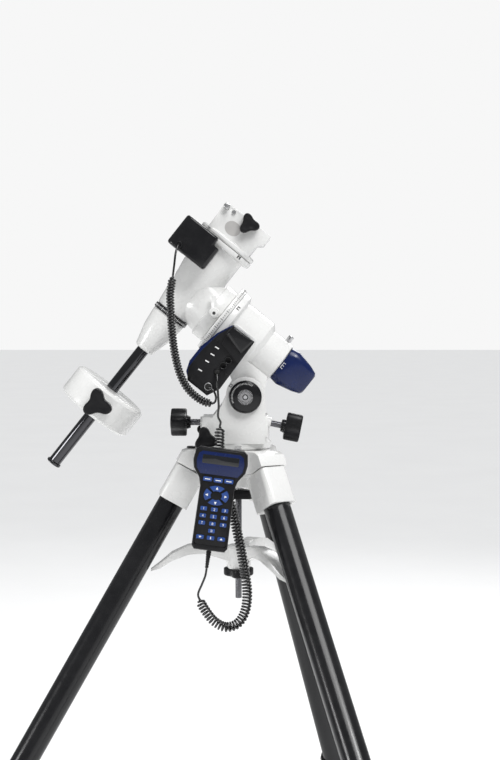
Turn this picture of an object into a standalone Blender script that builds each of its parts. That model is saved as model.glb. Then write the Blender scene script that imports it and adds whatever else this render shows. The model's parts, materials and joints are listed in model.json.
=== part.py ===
"""German equatorial mount on a folding tripod, with two motor drives and a wired handset.

World frame: metres, +Z up, floor at Z = 0, origin under the middle of the footprint.
The polar axis lies in the XZ plane and rises towards -X. The DEC axis is square to it.
"""
import math

import bmesh
import bpy
import numpy as np
from mathutils import Matrix, Vector

MM = 0.001
GAP = 0.3 * MM  # clearance between faces that touch
SMALL, MEDIUM, SMOOTH = 12, 16, 24  # sides of round pieces

# ---------------------------------------------------------------- driving dimensions
LATITUDE = math.radians(38.5)
HUB_TOP = 760 * MM
ALT_AXIS = (11 * MM, 83 * MM)  # X from the azimuth axis, Z above the hub's top
RA_OFFSET = 71 * MM  # altitude axis to polar axis
DEC_ALONG = 171 * MM  # up the polar axis to the DEC axis

LEG_SPLAY = math.radians(29.7)
LEG_TURN = math.radians(4.4)  # the tripod stands turned a little under the head
LEG_TOP_R = 75 * MM  # the leg's axis starts here, its pin is a little higher
LEG_TOP_DROP = 31 * MM
TUBE_R = 20.7 * MM
TUBE_BORE = 18.6 * MM
INNER_TUBE_R = 18 * MM
TUBE_END = 705 * MM  # distance down the leg
FOOT_R = 24 * MM
FOOT_H = 42 * MM

SPREADER_R = 139 * MM
SPREADER_TIP_DROP = 195 * MM
TIE_ROD_R = 5 * MM
TIE_ROD_END = 240 * MM  # below the hub's top

LEG_ANGLES = {
    "a": math.pi + LEG_TURN,
    "b": -math.pi / 3 + LEG_TURN,
    "c": math.pi / 3 + LEG_TURN,
}
FOOT_DEPTH = HUB_TOP - LEG_TOP_DROP
FOOT_REACH = LEG_TOP_R + FOOT_DEPTH * math.tan(LEG_SPLAY)


def footprint_middle():
    """Centre of the feet's box, seen from the azimuth axis."""
    xs = [FOOT_REACH * math.cos(angle) for angle in LEG_ANGLES.values()]
    ys = [FOOT_REACH * math.sin(angle) for angle in LEG_ANGLES.values()]
    return (min(xs) + max(xs)) / 2, (min(ys) + max(ys)) / 2


MIDDLE = footprint_middle()
HUB = Vector((-MIDDLE[0], -MIDDLE[1], HUB_TOP))  # azimuth axis at the hub's top
ALT = HUB + Vector((ALT_AXIS[0], 0, ALT_AXIS[1]))
POLE = Vector((-math.cos(LATITUDE), 0, math.sin(LATITUDE)))
DEC = Vector((math.sin(LATITUDE), 0, math.cos(LATITUDE)))
SIDE = Vector((0, 1, 0))
RA_ORIGIN = ALT + DEC * RA_OFFSET
DEC_ORIGIN = RA_ORIGIN + POLE * DEC_ALONG


def frame_at(origin, x, y, z):
    """Matrix whose columns are the local axes."""
    columns = [Vector(axis).normalized() for axis in (x, y, z)]
    matrix = Matrix([[column[row] for column in columns] for row in range(3)]).to_4x4()
    matrix.translation = origin
    return matrix


BASE_FRAME = Matrix.Translation(HUB)
ALT_FRAME = Matrix.Translation(ALT)
RA_FRAME = frame_at(RA_ORIGIN, DEC, SIDE, POLE)  # Z up the polar axis, X along DEC
DEC_FRAME = frame_at(DEC_ORIGIN, -POLE, SIDE, DEC)  # Z towards the saddle
TO_SIDE = Matrix.Rotation(math.pi / 2, 4, "X")  # local Z points to -Y
TO_BACK = Matrix.Rotation(-math.pi / 2, 4, "X")  # local Z points to +Y
TO_DOWN = Matrix.Rotation(math.pi, 4, "X")  # local Z points to -Z
TO_RIGHT = Matrix.Rotation(math.pi / 2, 4, "Y")  # local Z points to +X
# an outline drawn in the local XZ plane, extruded towards local -Y
TO_PLANE = Matrix(((1, 0, 0, 0), (0, 0, -1, 0), (0, 1, 0, 0), (0, 0, 0, 1)))
TO_PIN = TO_PLANE  # on a leg that plane is (across, down), and the extrusion is along its pin
# an outline drawn in the DEC frame's YZ plane, extruded along its X, down the tube
ALONG_TUBE = Matrix(((0, 0, 1, 0), (1, 0, 0, 0), (0, 1, 0, 0), (0, 0, 0, 1)))


def at(x, y, z):
    return Matrix.Translation((x * MM, y * MM, z * MM))


def leg_frame(angle):
    """Origin on the leg's axis, Z down the leg, X outwards, Y across."""
    out = Vector((math.cos(angle), math.sin(angle), 0))
    down = out * math.sin(LEG_SPLAY) - Vector((0, 0, math.cos(LEG_SPLAY)))
    across = out * math.cos(LEG_SPLAY) + Vector((0, 0, math.sin(LEG_SPLAY)))
    origin = HUB + out * LEG_TOP_R - Vector((0, 0, LEG_TOP_DROP))
    return frame_at(origin, across, down.cross(across), down)


# ---------------------------------------------------------------- materials
COLOURS = {
    "white_paint": ((0.80, 0.80, 0.78), 0.35, 0.0),
    "black_paint": ((0.012, 0.012, 0.014), 0.25, 0.3),
    "black_plastic": ((0.018, 0.018, 0.020), 0.5, 0.0),
    "blue_plastic": ((0.012, 0.030, 0.170), 0.3, 0.0),
    "steel": ((0.62, 0.62, 0.62), 0.25, 1.0),
    "chrome": ((0.75, 0.75, 0.76), 0.08, 1.0),
    "brass": ((0.72, 0.52, 0.22), 0.3, 1.0),
    "rubber": ((0.02, 0.02, 0.02), 0.8, 0.0),
    "key_rubber": ((0.02, 0.06, 0.35), 0.6, 0.0),
    "cable": ((0.012, 0.012, 0.012), 0.45, 0.0),
}


def material_named(slot):
    if slot in bpy.data.materials:
        return bpy.data.materials[slot]
    colour, roughness, metallic = COLOURS[slot]
    material = bpy.data.materials.new(slot)
    material.use_nodes = True
    shader = material.node_tree.nodes["Principled BSDF"]
    shader.inputs["Base Color"].default_value = (*colour, 1)
    shader.inputs["Roughness"].default_value = roughness
    shader.inputs["Metallic"].default_value = metallic
    return material


# ---------------------------------------------------------------- modelling tools
def add_object(name, mesh, place, slot=None):
    obj = bpy.data.objects.new(name, mesh)
    bpy.context.scene.collection.objects.link(obj)
    obj.matrix_world = place
    if slot:
        mesh.materials.append(material_named(slot))
        mesh.shade_smooth()
        mesh.set_sharp_from_angle(angle=math.radians(35))
    return obj


def closed_mesh(name, points, faces):
    mesh = bpy.data.meshes.new(name)
    mesh.from_pydata([Vector(point) * MM for point in points], [], faces)
    form = bmesh.new()
    form.from_mesh(mesh)
    bmesh.ops.recalc_face_normals(form, faces=form.faces)
    form.to_mesh(mesh)
    form.free()
    return mesh


def loft_mesh(name, rings):
    """Skin over rings of equal length, in mm, with flat ends."""
    count = len(rings[0])
    points = [point for ring in rings for point in ring]
    faces = [list(range(count)), list(range(len(points) - count, len(points)))]
    for level in range(len(rings) - 1):
        low = level * count
        for i in range(count):
            j = (i + 1) % count
            faces.append([low + i, low + j, low + count + j, low + count + i])
    return closed_mesh(name, points, faces)


def circle(radius, z, sides, middle=(0, 0)):
    turns = [2 * math.pi * i / sides for i in range(sides)]
    return [
        (middle[0] + radius * math.cos(turn), middle[1] + radius * math.sin(turn), z)
        for turn in turns
    ]


def turned(name, profile, place, slot=None, sides=MEDIUM):
    """Solid of revolution about local Z: profile is (radius, z) in mm, bottom to top."""
    rings = [circle(radius, z, sides) for radius, z in profile]
    return add_object(name, loft_mesh(name, rings), place, slot)


def ring_turned(name, profile, place, slot=None, sides=MEDIUM):
    """Revolution of a closed (radius, z) loop that stays off the axis."""
    points = [point for radius, z in profile for point in circle(radius, z, sides)]
    faces = []
    for level in range(len(profile)):
        low, high = level * sides, (level + 1) % len(profile) * sides
        for i in range(sides):
            j = (i + 1) % sides
            faces.append([low + i, low + j, high + j, high + i])
    return add_object(name, closed_mesh(name, points, faces), place, slot)


def prism(name, outline, low, high, place, slot=None):
    """Outline (x, y) in mm, extruded along local Z."""
    rings = [[(x, y, z) for x, y in outline] for z in (low, high)]
    return add_object(name, loft_mesh(name, rings), place, slot)


def block(name, low, high, place, slot=None):
    outline = [(low[0], low[1]), (high[0], low[1]), (high[0], high[1]), (low[0], high[1])]
    return prism(name, outline, low[2], high[2], place, slot)


def boolean(target, operation, *others):
    for other in others:
        modifier = target.modifiers.new(other.name, "BOOLEAN")
        modifier.operation = operation
        modifier.object = other
        modifier.solver = "EXACT"
        other.hide_render = True
        other.display_type = "WIRE"
    return target


def join(target, *others):
    return boolean(target, "UNION", *others)


def cut(target, *others):
    return boolean(target, "DIFFERENCE", *others)


def lobed_outline(lobe_r, web_r, tip_r, lobes=3, steps=4, start=math.pi / 2):
    """Hand knob seen end on: round lobes of tip_r at lobe_r, joined by hollow sides."""
    outline = []
    for lobe in range(lobes):
        middle = start + 2 * math.pi * lobe / lobes
        centre = ((lobe_r - tip_r) * math.cos(middle), (lobe_r - tip_r) * math.sin(middle))
        for step in range(steps + 1):
            turn = middle + math.radians(-75 + 150 * step / steps)
            outline.append(
                (centre[0] + tip_r * math.cos(turn), centre[1] + tip_r * math.sin(turn))
            )
        hollow = middle + math.pi / lobes
        outline.append((web_r * math.cos(hollow), web_r * math.sin(hollow)))
    return outline


def knob(name, lobe_r, web_r, tip_r, thick, place, slot="black_plastic", turn=math.pi / 2):
    """Three-lobed hand knob from local Z 0 to thick, with a chamfered face."""
    outline = lobed_outline(lobe_r, web_r, tip_r, start=turn)
    inset = 1 - 1.5 / lobe_r
    rings = [
        [(x, y, 0) for x, y in outline],
        [(x, y, thick - 1.5) for x, y in outline],
        [(x * inset, y * inset, thick) for x, y in outline],
    ]
    return add_object(name, loft_mesh(name, rings), place, slot)


def tube_along(name, points, radius, slot, resolution=2, scales=None):
    """Tube with flat ends, along world points in metres; scales narrow it point by point."""
    curve = bpy.data.curves.new(name, "CURVE")
    curve.dimensions = "3D"
    curve.bevel_depth = radius
    curve.bevel_resolution = resolution
    curve.use_fill_caps = True
    spline = curve.splines.new("POLY")
    spline.points.add(len(points) - 1)
    for point, place in zip(spline.points, points):
        point.co = (*place, 1)
    for point, scale in zip(spline.points, scales or []):
        point.radius = scale
    obj = bpy.data.objects.new(name, curve)
    bpy.context.scene.collection.objects.link(obj)
    curve.materials.append(material_named(slot))
    return obj


def smooth_path(route, step):
    """Points every `step` metres on a smooth curve through the route's points."""
    knots = [Vector(point) for point in route]
    knots = [2 * knots[0] - knots[1]] + knots + [2 * knots[-1] - knots[-2]]
    fine = []
    for i in range(1, len(knots) - 2):
        before, start, end, after = knots[i - 1 : i + 3]
        for k in range(20):
            t = k / 20
            fine.append(
                0.5
                * (
                    2 * start
                    + (end - before) * t
                    + (2 * before - 5 * start + 4 * end - after) * t**2
                    + (3 * start - before - 3 * end + after) * t**3
                )
            )
    fine.append(knots[-2])
    lengths = np.cumsum([0] + [(b - a).length for a, b in zip(fine, fine[1:])])
    count = max(2, round(lengths[-1] / step))
    wanted = np.linspace(0, lengths[-1], count + 1)
    return [
        Vector([np.interp(s, lengths, [point[k] for point in fine]) for k in range(3)])
        for s in wanted
    ]


# ---------------------------------------------------------------- tripod
HEAD_HALF = 24  # half the width of a leg's casting
TONGUE_HALF = 13
PIN_R = 4
PIN_AT = -14  # all distances down the leg start a little below its pin
SLEEVE_TOP = 3
SLEEVE_END = 61
TUBE_START = 15
POST_R = 50  # azimuth axis to the post that the azimuth screws press on


def hub_arm(angle, name):
    """Hooded fork that holds one leg's pin, cut back so that the leg can fold."""
    place = leg_frame(angle) @ TO_PIN
    out = Vector((math.cos(angle), math.sin(angle), 0))
    up = Vector((0, 0, 1))
    upright = frame_at(HUB, out, up, out.cross(up))
    side_view = [(20, -2), (78, -1), (89, -5), (108, -38), (62, -62), (46, -52), (20, -40)]
    arm = prism(name, side_view, -HEAD_HALF, HEAD_HALF, upright)
    below = [(-50, -13), (0, 1.5), (60, 1.5), (60, 90), (-60, 90), (-60, -13)]
    slot = [
        (-60, -2), (-13, -14), (-9, -24), (0, -27.5), (9, -24), (13, -14), (20, 0), (60, 30), (-60, 60),
    ]
    slot_half = TONGUE_HALF + 0.5
    cut(
        arm,
        prism(name + "_below", below, -40, 40, place),
        prism(name + "_slot", slot, -slot_half, slot_half, place),
    )
    pin_line = place @ at(0, PIN_AT, 0)
    pin_end = HEAD_HALF - 4
    return join(arm, turned(name + "_pin", [(PIN_R, -pin_end), (PIN_R, pin_end)], pin_line, sides=SMALL))


def make_hub():
    """Casting with three forks, their pins and the azimuth post."""
    drum = turned(
        "tripod_hub",
        [(20, -62), (22, -60), (22, -43), (44, -39), (50, -34), (50, -2), (48, 0)],
        BASE_FRAME,
        "white_paint",
        sides=SMOOTH,
    )
    for key, angle in LEG_ANGLES.items():
        join(drum, hub_arm(angle, f"hub_arm_{key}"))
    post = turned(
        "azimuth_post", [(5, -20), (5, 27), (4, 28)], BASE_FRAME @ at(-POST_R, 0, 0), sides=SMALL
    )
    join(drum, post)
    cut(drum, turned("hub_bore", [(5.5, -80), (5.5, 10)], BASE_FRAME, sides=SMALL))
    level_at = leg_frame(LEG_ANGLES["a"]).translation - HUB
    turned(
        "bubble_level",
        [(7, -0.7), (7, 1.6), (6, 2.6)],
        Matrix.Translation(HUB + Vector((level_at.x, level_at.y, 0))),
        "black_plastic",
        sides=SMALL,
    )


def rounded_section(inner, outer, half, corner, small_corner):
    """Leg casting's section: rounder on its outer side."""
    outline = []
    for cx, cy, radius, start in (
        (outer - corner, half - corner, corner, 0),
        (-inner + small_corner, half - small_corner, small_corner, 90),
        (-inner + small_corner, -half + small_corner, small_corner, 180),
        (outer - corner, -half + corner, corner, 270),
    ):
        for step in range(4):
            turn = math.radians(start + 30 * step)
            outline.append((cx + radius * math.cos(turn), cy + radius * math.sin(turn)))
    return outline


def make_leg(key, angle):
    place = leg_frame(angle)
    across_pin = place @ TO_PIN
    tube_end, outer, bore = TUBE_END / MM, TUBE_R / MM, TUBE_BORE / MM
    section = rounded_section(25, 24, HEAD_HALF, 9, 4)
    head = prism(f"leg_head_{key}", section, SLEEVE_TOP, SLEEVE_END, place, "white_paint")
    tongue = [(-13, 10), (-11, -14), (-8, -22), (0, -25), (8, -22), (11, -14), (13, 10)]
    join(head, prism(f"tongue_{key}", tongue, -TONGUE_HALF, TONGUE_HALF, across_pin))
    cut(
        head,
        turned(f"socket_{key}", [(outer + 0.3, TUBE_START), (outer + 0.3, 90)], place),
        turned(
            f"pin_bore_{key}",
            [(PIN_R + 0.3, -40), (PIN_R + 0.3, 40)],
            across_pin @ at(0, PIN_AT, 0),
            sides=SMALL,
        ),
    )

    # outer tube with the clamp collar pressed on its end
    tube_top = TUBE_START + 0.3
    tube = turned(f"leg_tube_{key}", [(outer, tube_top), (outer, tube_end)], place, "black_paint")
    collar = turned(
        f"leg_collar_{key}",
        [(25, tube_end - 38), (27, tube_end - 34), (27, tube_end + 14), (24, tube_end + 18)],
        place,
    )
    screw_line = place @ at(0, 0, tube_end + 2) @ TO_RIGHT
    boss = turned(f"boss_{key}", [(9, 15), (9, 36)], screw_line, sides=SMALL)
    join(tube, collar, boss)
    cut(
        tube,
        turned(f"tube_bore_{key}", [(bore, 0), (bore, tube_end + 40)], place),
        turned(f"screw_way_{key}", [(3.3, 10), (3.3, 50)], screw_line, sides=SMALL),
    )
    lock = knob(f"leg_lock_{key}", 17, 9, 5.5, 13, screw_line @ at(0, 0, 36.3), turn=-math.pi / 2)
    join(lock, turned(f"lock_stem_{key}", [(3, 18.9), (3, 40)], screw_line, sides=SMALL))

    # inner tube on its rubber foot, which stands level on the floor
    foot_at = FOOT_DEPTH / MM / math.cos(LEG_SPLAY)
    inner, foot_r, foot_h = INNER_TUBE_R / MM, FOOT_R / MM, FOOT_H / MM
    lower = turned(f"lower_leg_{key}", [(inner, 250), (inner, foot_at - 20)], place, "steel")
    foot_profile = [
        (foot_r - 4, 0),
        (foot_r, 4),
        (foot_r, foot_h - 14),
        (foot_r - 3, foot_h - 5),
        (foot_r - 9, foot_h),
    ]
    foot_place = Matrix.Translation(place @ Vector((0, 0, foot_at * MM)))
    join(lower, turned(f"foot_{key}", foot_profile, foot_place))
    cut(lower, turned(f"lower_bore_{key}", [(inner - 1.6, 200), (inner - 1.6, foot_at - 50)], place))


HUB_RISE = 3  # the spreader's hub stands this much above its tips


def make_spreader():
    """Three arched arms from a hub on the tie rod out to the legs."""
    tip_drop = SPREADER_TIP_DROP / MM
    reach = SPREADER_R / MM
    hub = turned(
        "spreader",
        [(17, HUB_RISE - tip_drop), (19, 7 - tip_drop), (19, 36 - tip_drop), (15, 40 - tip_drop)],
        BASE_FRAME,
        "white_paint",
    )
    for key, angle in LEG_ANGLES.items():
        upright = BASE_FRAME @ Matrix.Rotation(angle, 4, "Z")
        # (distance out, top height, bottom height, half width) above the tip's level
        stations = [
            (8, 37, 12, 10),
            (30, 42, 20, 11),
            (55, 44, 28, 13),
            (80, 40, 27, 15),
            (105, 29, 18, 15),
            (reach - 14, 13, 5, 10),
            (reach, 3.5, 0, 4),
        ]
        rings = [
            [
                (r, -half, -tip_drop + low),
                (r, half, -tip_drop + low),
                (r, half * 0.9, -tip_drop + high),
                (r, -half * 0.9, -tip_drop + high),
            ]
            for r, high, low, half in stations
        ]
        arm = add_object(f"spreader_arm_{key}", loft_mesh(f"spreader_arm_{key}", rings), upright)
        join(hub, arm)
    rod = TIE_ROD_R / MM
    bore = turned("spreader_bore", [(rod + 0.4, -260), (rod + 0.4, -100)], BASE_FRAME, sides=SMALL)
    cut(hub, bore)
    turned(
        "tie_rod",
        [(rod, -TIE_ROD_END / MM), (rod, -81.3)],
        BASE_FRAME,
        "steel",
        sides=SMALL,
    )
    below = HUB_RISE - tip_drop - 0.4
    wheel = knob("spreader_knob", 26, 15, 8, 13, BASE_FRAME @ at(0, 0, below) @ TO_DOWN)
    join(wheel, turned("knob_neck", [(9, below - 18), (10, below - 12)], BASE_FRAME, sides=SMALL))
    hole = turned("knob_hole", [(rod + 0.3, -260), (rod + 0.3, -180)], BASE_FRAME, sides=SMALL)
    cut(wheel, hole)


def make_fixing_bolt():
    """Knob under the hub whose bolt holds the head down."""
    grip = knob("fixing_knob", 24, 14, 7, 14, BASE_FRAME @ at(0, 0, -81))
    join(grip, turned("fixing_shaft", [(5, -70), (5, 9)], BASE_FRAME, sides=SMALL))


# ---------------------------------------------------------------- azimuth base
ARM_HALF = 8
AXIS_X, AXIS_Z = ALT_AXIS[0] / MM, ALT_AXIS[1] / MM
CHEEK_R = 31
CHEEK_INNER, CHEEK_OUTER = 38, 52
POST_HEIGHT = 19  # height of the azimuth screws


def screw_frame(drop, tilt, towards):
    """Altitude screw: Z runs outwards along it from the line straight below the axle."""
    start = ALT - Vector((0, 0, drop * MM))
    out = Vector((towards * math.cos(tilt), 0, -math.sin(tilt)))
    return frame_at(start, SIDE.cross(out), SIDE, out)


FRONT_SCREW = screw_frame(43, 0, -1)
REAR_SCREW = screw_frame(36, math.radians(12), 1)


def make_azimuth_base():
    """Turning base: a drum with two cheeks that carry the altitude axle."""
    drum = turned(
        "azimuth_base",
        [(50, GAP / MM), (52, 2), (52, 10), (49, 13), (49, 34), (46, 38)],
        BASE_FRAME,
        "white_paint",
        sides=SMOOTH,
    )
    cheek = [(-56, 30), (-58, 10), (42, 10), (AXIS_X + CHEEK_R, 30)]
    for step in range(9):
        turn = math.radians(180 * step / 8)
        cheek.append((AXIS_X + CHEEK_R * math.cos(turn), AXIS_Z + CHEEK_R * math.sin(turn)))
    cheek.append((AXIS_X - 37, AXIS_Z - 14))
    join(
        drum,
        prism("cheek_front", cheek, CHEEK_INNER, CHEEK_OUTER, BASE_FRAME @ TO_SIDE),
        prism("cheek_rear", cheek, -CHEEK_OUTER, -CHEEK_INNER, BASE_FRAME @ TO_SIDE),
        block("front_wall", (-56, -38, 20), (-28, 38, 50), BASE_FRAME),
        turned("boss_front", [(10, 41), (9, 71)], FRONT_SCREW, sides=SMALL),
        block("rear_wall", (38, -38, 20), (46, 38, 52), BASE_FRAME),
        turned("boss_rear", [(10, 22), (9, 41)], REAR_SCREW, sides=SMALL),
    )
    post_line = BASE_FRAME @ at(-POST_R, 0, POST_HEIGHT) @ TO_SIDE
    cut(
        drum,
        block("arm_pocket", (-28, -37.5, 14), (40, 37.5, 70), BASE_FRAME),
        turned("axle_hole", [(8.3, -60), (8.3, 60)], ALT_FRAME @ TO_SIDE),
        turned("front_screw_hole", [(5.3, 5), (5.3, 80)], FRONT_SCREW, sides=SMALL),
        turned("rear_screw_hole", [(5.3, 5), (5.3, 80)], REAR_SCREW, sides=SMALL),
        block("post_room", (-70, -17, -5), (-38, 17, 31), BASE_FRAME),
        turned("azimuth_screw_hole", [(4.3, -70), (4.3, 70)], post_line, sides=SMALL),
        turned("bolt_hole", [(5.3, -5), (5.3, 9.5)], BASE_FRAME, sides=SMALL),
    )
    axle = turned("altitude_axle", [(8, -53), (8, 52)], ALT_FRAME @ TO_SIDE, "steel")
    rear_head = turned("axle_head", [(19, 52.3), (20, 54), (20, 58), (17, 61)], ALT_FRAME @ TO_BACK)
    join(axle, rear_head)
    turned(
        "altitude_cap",
        [(24, 52.3), (25.5, 54), (25.5, 59), (23, 62.5), (10, 65)],
        ALT_FRAME @ TO_SIDE,
        "black_plastic",
        sides=SMOOTH,
    )


def make_adjusters():
    """Two altitude screws and two azimuth screws, each in one with its hand knob."""
    for name, place, tip, handle_at, turn in (
        ("altitude_screw_front", FRONT_SCREW, ARM_HALF + 1.3, 93, math.radians(35)),
        ("altitude_screw_rear", REAR_SCREW, ARM_HALF + 2.8, 64, math.radians(80)),
    ):
        grip = knob(name, 24, 13, 8, 25, place @ at(0, 0, handle_at), turn=turn)
        collar = turned(
            name + "_collar", [(8, handle_at - 6), (11, handle_at + 1)], place, sides=SMALL
        )
        shaft = turned(
            name + "_shaft", [(2, tip), (5, tip + 3), (5, handle_at - 5)], place, sides=SMALL
        )
        join(grip, collar, shaft)
    for name, turning, turn in (
        ("azimuth_screw_front", TO_SIDE, math.radians(100)),
        ("azimuth_screw_rear", TO_BACK, math.radians(80)),
    ):
        place = BASE_FRAME @ at(-POST_R, 0, POST_HEIGHT) @ turning
        grip = knob(name, 19, 9, 6, 14, place @ at(0, 0, 63), turn=turn)
        collar = turned(name + "_collar", [(6, 60), (8, 64)], place, sides=SMALL)
        shaft = turned(name + "_shaft", [(2, 6), (4, 8), (4, 61)], place, sides=SMALL)
        join(grip, collar, shaft)


# ---------------------------------------------------------------- polar axis
CASE_END = -12
FLANGE_TOP = 98
BOX_BACK = 56  # polar axis to the back of the control box
COVER_RISE = 4  # the polar scope's cover sits above the axis


def make_polar_housing():
    """Casting that tilts with altitude: polar tube, lug on the axle, tangent arm."""
    body = turned(
        "polar_housing",
        [
            (34, CASE_END),
            (37, CASE_END + 2),
            (37, 26),
            (46, 34),
            (46, 84),
            (55, 88),
            (55, FLANGE_TOP),
        ],
        RA_FRAME,
        "white_paint",
        sides=SMOOTH,
    )
    axle_x = -RA_OFFSET / MM
    lug = [(-26, -8), (-26, 74), (-44, 66), (-66, 30)]
    for step in range(7):
        turn = math.radians(60 + 210 * step / 6)
        lug.append((axle_x + 26 * math.cos(turn), 26 * math.sin(turn)))
    lug.append((-50, -20))
    join(
        body,
        prism("lug", lug, -34, 34, RA_FRAME @ TO_PLANE),
        block("tangent_arm", (-ARM_HALF, -12, -56), (ARM_HALF, 12, 0), ALT_FRAME),
        block("worm_pad", (-38, -BOX_BACK + 0.3, 42), (8, -20, 83), RA_FRAME),
    )
    cut(
        body,
        turned("shaft_way", [(20.4, -40), (20.4, 120)], RA_FRAME, sides=SMOOTH),
        turned("wheel_room", [(40, 50), (40, 120)], RA_FRAME, sides=SMOOTH),
        turned("lug_bore", [(8.3, -60), (8.3, 60)], ALT_FRAME @ TO_SIDE),
        block("worm_room", (-24, -60, 55), (5, -37, 69), RA_FRAME),
        turned("thumb_screw_hole", [(2.3, 22), (2.3, 50)], RA_FRAME @ TO_RIGHT, sides=SMALL),
    )
    turned(
        "housing_thumb_screw",
        [(2, 26), (2, 37.3), (4.5, 37.4), (4.5, 46), (3.5, 47)],
        RA_FRAME @ TO_RIGHT,
        "steel",
        sides=SMALL,
    )
    gear("polar_worm_wheel", 36, 33.5, 20, 56, 68, 20.8, RA_FRAME)
    worm("polar_worm", RA_FRAME @ at(-9.5, -43.5, 62) @ TO_RIGHT, 14)
    ring_turned("polar_shaft", [(20, -8), (20, 107), (14, 107), (14, -8)], RA_FRAME, "steel")
    polar_cover()


def gear(name, tip_r, root_r, teeth, low, high, bore, place):
    """Bronze wheel with plain teeth."""
    outline = []
    for tooth in range(teeth):
        for share, radius in ((0.0, root_r), (0.5, tip_r)):
            turn = 2 * math.pi * (tooth + share) / teeth
            outline.append((radius * math.cos(turn), radius * math.sin(turn)))
    wheel = prism(name, outline, low, high, place, "brass")
    hole = turned(name + "_hole", [(bore, low - 5), (bore, high + 5)], place, sides=24)
    return cut(wheel, hole)


def worm(name, place, half_length):
    """Worm as a shaft with round threads."""
    profile = [(3, -half_length)]
    for z in (-11, 0, 11):
        profile += [(3, z - 2), (5.4, z), (3, z + 2)]
    profile.append((3, half_length))
    return turned(name, profile, place, "steel", sides=SMALL)


def rounded_square(half, corner, z, steps=3):
    points = []
    for quadrant in range(4):
        middle = math.radians(45 + 90 * quadrant)
        cx = math.copysign(half - corner, math.cos(middle))
        cy = math.copysign(half - corner, math.sin(middle))
        for step in range(steps + 1):
            turn = middle + math.radians(-45 + 90 * step / steps)
            points.append((cx + corner * math.cos(turn), cy + corner * math.sin(turn), z))
    return points


def rounded_loft(name, stations):
    return loft_mesh(name, [rounded_square(*station) for station in stations])


def polar_cover():
    """Blue cap over the polar scope, tapering from a square collar to a blunt end."""
    outside = [
        (29, 15, CASE_END - 0.3),
        (30, 14, -18),
        (31, 12, -26),
        (25, 9, -52),
        (20.5, 8, -64),
        (17, 7, -67),
    ]
    inside = [(27, 11, -5), (27, 11, -26), (19, 6, -60)]
    name = "polar_scope_cover"
    place = RA_FRAME @ at(COVER_RISE, 0, 0)
    cover = add_object(name, rounded_loft(name, outside), place, "blue_plastic")
    cut(cover, add_object("cover_hollow", rounded_loft("cover_hollow", inside), place))


def make_control_box():
    """Motor and control box on the near side: blue back shell, black front, ports."""
    face = RA_FRAME @ TO_PLANE  # outlines are (towards the saddle, up the polar axis)
    back = [
        (4, 42), (4, 84), (-20, 95), (-52, 102), (-80, 102), (-96, 96), (-104, 86), (-104, 48), (-84, 40),
    ]
    front = [
        (4, 42), (4, 82), (-20, 92), (-56, 97), (-88, 97), (-104, 86), (-104, 48), (-84, 39),
    ]
    raised = [(5, 43), (5, 83), (-28, 79), (-36, 43)]
    prism("control_box_back", back, BOX_BACK, 68, face, "blue_plastic")
    box = prism("control_box", front, 68.3, 92, face, "black_plastic")
    join(box, prism("raised_cover", raised, 80, 98, face))
    ports = ((-42, 56), (-53, 57), (-66, 58), (-92, 55))
    for index, (x, z) in enumerate(ports):
        cut(box, turned(f"port_{index}", [(4.5, 84), (4.5, 96)], face @ at(x, z, 0), sides=SMALL))


# ---------------------------------------------------------------- declination axis
def make_dec_housing():
    """Casting that turns about the polar axis: DEC barrel and its neck."""
    body = turned(
        "dec_housing",
        [
            (27, -41),
            (29, -39),
            (33, -10),
            (36, 20),
            (39, 38),
            (39, 84),
            (49, 86),
            (50, 88),
            (50, 94),
        ],
        DEC_FRAME,
        "white_paint",
        sides=SMOOTH,
    )
    neck = turned(
        "polar_neck",
        [(46, 108.3), (47, 110), (47, 127), (43, 129), (40, 150), (34, 160)],
        RA_FRAME,
        sides=SMOOTH,
    )
    join(body, neck)
    polar_lever = RA_FRAME @ at(0, 0, 118) @ TO_SIDE @ Matrix.Rotation(math.radians(-51.5), 4, "Z")
    dec_lever = DEC_FRAME @ at(0, 0, 68) @ TO_BACK
    cut(
        body,
        turned("shaft_room", [(15.4, -60), (15.4, 110)], DEC_FRAME, sides=SMOOTH),
        turned("dec_wheel_room", [(32, 50), (32, 110)], DEC_FRAME, sides=SMOOTH),
        turned("scope_way", [(13, 80), (13, 230)], RA_FRAME),
        block("dec_worm_room", (-60, -17, 53), (-28, 17, 67), DEC_FRAME),
        turned("polar_lever_hole", [(3.3, 30), (3.3, 60)], polar_lever, sides=SMALL),
        turned("dec_lever_hole", [(3.3, 30), (3.3, 60)], dec_lever, sides=SMALL),
    )
    ring_turned(
        "polar_setting_circle",
        [
            (57, FLANGE_TOP + 0.4),
            (58, FLANGE_TOP + 2),
            (58, 106),
            (57, 107.7),
            (20.6, 107.7),
            (20.6, FLANGE_TOP + 0.4),
        ],
        RA_FRAME,
        "white_paint",
        sides=SMOOTH,
    )
    lever("polar_lock_lever", polar_lever, 47.3)
    lever("dec_lock_lever", dec_lever, 39.3)
    gear("dec_worm_wheel", 30, 27.5, 16, 54, 66, 15.6, DEC_FRAME)
    worm("dec_worm", DEC_FRAME @ at(-37.5, 0, 60) @ TO_SIDE, 14)
    turned("dec_shaft", [(15, -48.5), (15, 94.6)], DEC_FRAME, "steel")


def lever(name, place, start):
    """Small clutch lever: a hub with a tapering handle, on a stub shaft."""
    hub = turned(
        name, [(9, start), (9, start + 8), (7.5, start + 10)], place, "white_paint", sides=SMALL
    )
    outline = [(5, -2), (3.5, 26), (-3.5, 26), (-5, -2)]
    handle = prism(name + "_handle", outline, start + 2, start + 8, place)
    stub = turned(name + "_stub", [(3, start - 9), (3, start + 3)], place, sides=SMALL)
    return join(hub, handle, stub)


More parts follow.
